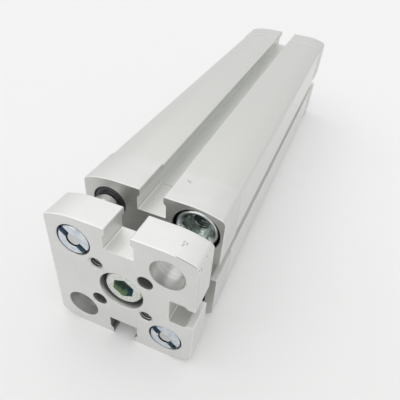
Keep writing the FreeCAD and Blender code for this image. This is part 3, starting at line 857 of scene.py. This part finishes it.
def finish_ring(tree, given, result, shape):
    """Sets copies of a shape on a circle in the local XY plane, turns them into place and paints them."""
    index = add(tree, "GeometryNodeInputIndex").outputs["Index"]
    step = divided(tree, math.tau, given["Copies"])
    angle = plus(tree, times(tree, index, step), given["First Angle"])
    place = add(tree, "ShaderNodeCombineXYZ", {
        "X": times(tree, maths(tree, "COSINE", angle), given["Circle Radius"]),
        "Y": times(tree, maths(tree, "SINE", angle), given["Circle Radius"])})
    points = add(tree, "GeometryNodePoints", {
        "Count": given["Copies"],
        "Position": place.outputs["Vector"]})
    outward = add(tree, "FunctionNodeAxisAngleToRotation", {"Axis": (0.0, 0.0, 1.0), "Angle": angle})
    copies = add(tree, "GeometryNodeInstanceOnPoints", {
        "Points": points.outputs["Points"],
        "Instance": shape,
        "Rotation": outward.outputs["Rotation"]})
    turn = add(tree, "FunctionNodeEulerToRotation", {"Euler": given["Turn"]})
    placed = add(tree, "GeometryNodeTransform", {
        "Geometry": copies.outputs["Instances"],
        "Translation": given["Mouth Centre"],
        "Rotation": turn.outputs["Rotation"]})
    real = add(tree, "GeometryNodeRealizeInstances", {"Geometry": placed.outputs["Geometry"]})
    painted = add(tree, "GeometryNodeSetMaterial", {
        "Geometry": real.outputs["Geometry"],
        "Material": given["Finish"]})
    put_out(tree, result, {"Geometry": painted.outputs["Geometry"]})


def sweep_along(tree, path, sides, radius):
    """A bar of a few sides along a path, with closed ends."""
    profile = add(tree, "GeometryNodeCurvePrimitiveCircle", {"Resolution": sides, "Radius": radius})
    bar = add(tree, "GeometryNodeCurveToMesh", {
        "Curve": path.outputs["Curve"],
        "Profile Curve": profile.outputs["Curve"],
        "Fill Caps": True})
    return bar.outputs["Mesh"]


def make_thread_tree():
    """Helical ridges in a ring of equal holes. The holes run along local Z from their mouths."""
    tree, given, result = new_group(
        "internal_thread", "GeometryNodeTree",
        [("Core Radius", FLOAT, 1.25 * MM),
         ("Thread Pitch", FLOAT, 0.5 * MM),
         ("Depth", FLOAT, 5 * MM),
         ("Ridge", FLOAT, 0.15 * MM)] + ring_inputs,
        [("Geometry", "NodeSocketGeometry")])
    helix = add(tree, "GeometryNodeCurveSpiral", {
        "Resolution": 28,
        "Rotations": divided(tree, given["Depth"], given["Thread Pitch"]),
        "Start Radius": given["Core Radius"],
        "End Radius": given["Core Radius"],
        "Height": given["Depth"]})
    upright = add(tree, "GeometryNodeSetCurveNormal", {"Curve": helix.outputs["Curve"]}, mode="Z_UP")
    finish_ring(tree, given, result, sweep_along(tree, upright, sides=3, radius=given["Ridge"]))
    return tree


def make_knurl_tree():
    """Straight ridges around a screw head, as a ring of equal wedges along local Z."""
    tree, given, result = new_group(
        "straight_knurl", "GeometryNodeTree",
        [("Length", FLOAT, 2.5 * MM), ("Ridge", FLOAT, 0.15 * MM)] + ring_inputs,
        [("Geometry", "NodeSocketGeometry")])
    end = add(tree, "ShaderNodeCombineXYZ", {"Z": given["Length"]}).outputs["Vector"]
    spine = add(tree, "GeometryNodeCurvePrimitiveLine", {"End": end})
    finish_ring(tree, given, result, sweep_along(tree, spine, sides=4, radius=given["Ridge"]))
    return tree


def grow(name, tree, body, values):
    """Runs a tree with its named inputs, keeps the plain mesh and sets it on a body."""
    piece = bpy.data.objects.new(name, bpy.data.meshes.new(name))
    bpy.context.scene.collection.objects.link(piece)
    modifier = piece.modifiers.new(name, "NODES")
    modifier.node_group = tree
    for socket in tree.interface.items_tree:
        if socket.in_out == "INPUT" and socket.name in values:
            modifier[socket.identifier] = values[socket.name]
    evaluated = piece.evaluated_get(bpy.context.evaluated_depsgraph_get())
    mesh = bpy.data.meshes.new_from_object(evaluated)
    piece.modifiers.clear()
    piece.data = mesh
    mesh.name = name
    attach(piece, body)


thread_tree = make_thread_tree()
knurl_tree = make_knurl_tree()
into_plate = (-math.pi / 2, 0.0, 0.0)
into_rear = (math.pi / 2, 0.0, 0.0)
into_side = (0.0, math.pi / 2, 0.0)

# Accessory threads in the plate, M3
plate_thread = mounts["plate_threads"]["dims"]
plate_thread_mouth = 0.4 * MM
grow("plate_accessory_threads", thread_tree, "plate_and_rods", {
    "Core Radius": plate_thread["hole_r_mm"] * MM,
    "Thread Pitch": 0.5 * MM,
    "Depth": plate_high.y - plate_front - 2 * plate_thread_mouth,
    "Ridge": 0.15 * MM,
    "Copies": 2,
    "Circle Radius": accessory_circle,
    "First Angle": math.radians(45),
    "Mouth Centre": (0.0, plate_front + plate_thread_mouth, 0.0),
    "Turn": into_plate,
    "Finish": finishes["plate_threads"]})

# Supply port threads in the caps, M5
front_port = Vector(mounts["front_port"]["pos_m"])
rear_port = Vector(mounts["rear_port"]["pos_m"])
grow("port_threads", thread_tree, "cylinder_body", {
    "Core Radius": mounts["front_port"]["dims"]["r_mm"] * MM,
    "Thread Pitch": 0.8 * MM,
    "Depth": 4.0 * MM,
    "Ridge": 0.25 * MM,
    "Copies": 2,
    "Circle Radius": (rear_port - front_port).length / 2,
    "First Angle": math.radians(90),
    "Mouth Centre": (front_port + rear_port) / 2,
    "Turn": into_side,
    "Finish": finishes["caps"]})

# Mounting threads in the flange screws, M4
flange_thread = mounts["front_thread_right"]
flange_thread_mouth = 0.2 * MM
flange_thread_end = 0.3 * MM
flange_values = {
    "Core Radius": flange_thread["dims"]["r_mm"] * MM,
    "Thread Pitch": 0.7 * MM,
    "Depth": flange_thread["dims"]["length_mm"] * MM - flange_thread_mouth - flange_thread_end,
    "Ridge": 0.2 * MM,
    "Circle Radius": corner_circle,
    "Finish": finishes["flange_screws"]}
grow("front_flange_screw_threads", thread_tree, "cylinder_body", {
    **flange_values,
    "Copies": 2,
    "First Angle": math.radians(-45),
    "Mouth Centre": (0.0, flange_thread["pos_m"][1] + flange_thread_mouth, 0.0),
    "Turn": into_plate})
grow("rear_flange_screw_threads", thread_tree, "cylinder_body", {
    **flange_values,
    "Copies": 4,
    "First Angle": math.radians(45),
    "Mouth Centre": (0.0, mounts["rear_threads"]["pos_m"][1] - flange_thread_mouth, 0.0),
    "Turn": into_rear})

# Knurl on the head of the plate's screw
head_edge = 0.6 * MM
knurl_sink = 0.02 * MM
grow("plate_screw_knurl", knurl_tree, "plate_and_rods", {
    "Length": 2.5 * MM,
    "Ridge": 0.12 * MM,
    "Copies": 72,
    "Circle Radius": screw_radius - knurl_sink,
    "Mouth Centre": (0.0, screw_low.y + head_edge, 0.0),
    "Turn": into_plate,
    "Finish": finishes["plate_screw"]})


# Stage, light and camera

view_azimuth = math.radians(18.834)
view_elevation = math.radians(39.172)
view_roll = math.radians(5.7206)
camera_place = Vector((26.149 * MM, plate_front - 37.763 * MM, 59.05 * MM))
camera_lens = 35.715
camera_sensor = 36.0
camera_clip = (0.005, 20.0)
floor_reach = 4.0
floor_gap = 0.02 * MM
# Painted shade: the floor is darker near the front than far away
floor_near_shaded = (0.86, 0.86, 0.855)
floor_far = (0.91, 0.91, 0.91)
floor_change = (plate_front - 50 * MM, plate_front + 70 * MM)
# Painted light: the floor's glow on camera and mirrored rays, which lightens its shadows
floor_painted_glow = 0.15
room_level = (0.62, 0.62, 0.62)
room_overhead = (0.7, 0.7, 0.7)
room_seen = (0.93, 0.93, 0.93)
room_strength = 0.7
lamp_spread = math.radians(100)


def seen_or_mirrored(tree):
    """1 on rays from the camera and on those that show the surroundings in metal or glass, else 0."""
    ray = add(tree, "ShaderNodeLightPath").outputs
    mirrored = larger(tree, ray["Is Glossy Ray"], ray["Is Transmission Ray"])
    return larger(tree, ray["Is Camera Ray"], mirrored)


def make_floor():
    """A wide flat sheet just under the object, with painted shade that makes it a little darker in front of
    it and a painted glow that lightens its shadows.
    """
    level = cad_box[0].z - floor_gap
    centre = (cad_box[0] + cad_box[1]) / 2
    mesh = bpy.data.meshes.new("floor")
    corners = [(centre.x + x * floor_reach, centre.y + y * floor_reach, level)
               for x, y in ((-1, -1), (1, -1), (1, 1), (-1, 1))]
    mesh.from_pydata(corners, [], [(0, 1, 2, 3)])
    floor = bpy.data.objects.new("floor", mesh)
    bpy.context.scene.collection.objects.link(floor)
    material, tree, shader = new_material("pale_paper", metallic=0.0, roughness=0.9)
    ahead = Vector((-math.sin(view_azimuth), math.cos(view_azimuth), 0.0))
    along = vector_maths(tree, "DOT_PRODUCT", "Value", place_on_object(tree), ahead)
    colour = mix_colours(tree, ramp(tree, along, *floor_change), floor_near_shaded, floor_far)
    # Painted light: the floor glows for the camera and in reflections
    glow = times(tree, seen_or_mirrored(tree), floor_painted_glow)
    shaded = mix_colours(tree, glow, colour, (0.0, 0.0, 0.0))
    feed(tree, shader, {"Base Color": shaded, "Specular IOR Level": 0.0,
                        "Emission Color": colour, "Emission Strength": glow})
    mesh.materials.append(material)


def make_world():
    """Soft white surroundings: paler overhead, full strength for what is seen or mirrored."""
    world = bpy.data.worlds.new("white_room")
    bpy.context.scene.world = world
    world.use_nodes = True
    tree = world.node_tree
    height = axes_of(tree, add(tree, "ShaderNodeTexCoord").outputs["Generated"])["Z"]
    ray = add(tree, "ShaderNodeLightPath").outputs
    colour = mix_colours(tree, ramp(tree, height, 0.0, 0.9), room_level, room_overhead)
    colour = mix_colours(tree, ray["Is Camera Ray"], colour, room_seen)
    strength = ramp(tree, seen_or_mirrored(tree), 0.0, 1.0, room_strength, 1.0)
    feed(tree, tree.nodes["Background"], {"Color": colour, "Strength": strength})


def make_lamp(name, towards, energy):
    """A broad soft lamp that shines in a given direction."""
    lamp = bpy.data.lights.new(name, "SUN")
    lamp.energy = energy
    lamp.angle = lamp_spread
    lamp_object = bpy.data.objects.new(name, lamp)
    lamp_object.rotation_euler = Vector(towards).to_track_quat("-Z", "Y").to_euler()
    bpy.context.scene.collection.objects.link(lamp_object)


def make_camera():
    """The photograph's view: high on the right of the front plate, rolled a little."""
    camera = bpy.data.cameras.new("camera")
    camera.sensor_width = camera_sensor
    camera.lens = camera_lens
    camera.clip_start, camera.clip_end = camera_clip
    camera_object = bpy.data.objects.new("camera", camera)
    level = Vector((math.cos(view_azimuth), math.sin(view_azimuth), 0.0))
    forward = Vector((-math.sin(view_azimuth), math.cos(view_azimuth), 0.0))
    back = forward * -math.cos(view_elevation)
    back.z = math.sin(view_elevation)
    right = level * math.cos(view_roll) + back.cross(level) * math.sin(view_roll)
    up = back.cross(right)
    turn = Matrix((right, up, back)).transposed().to_4x4()
    camera_object.matrix_world = Matrix.Translation(camera_place) @ turn
    bpy.context.scene.collection.objects.link(camera_object)
    bpy.context.scene.camera = camera_object


make_floor()
make_world()
make_lamp("overhead_lamp", towards=(0.3, 0.03, -0.95), energy=1.45)
make_lamp("right_lamp", towards=(-0.85, 0.2, -0.5), energy=0.42)
make_camera()
bpy.context.scene.view_settings.view_transform = "Standard"
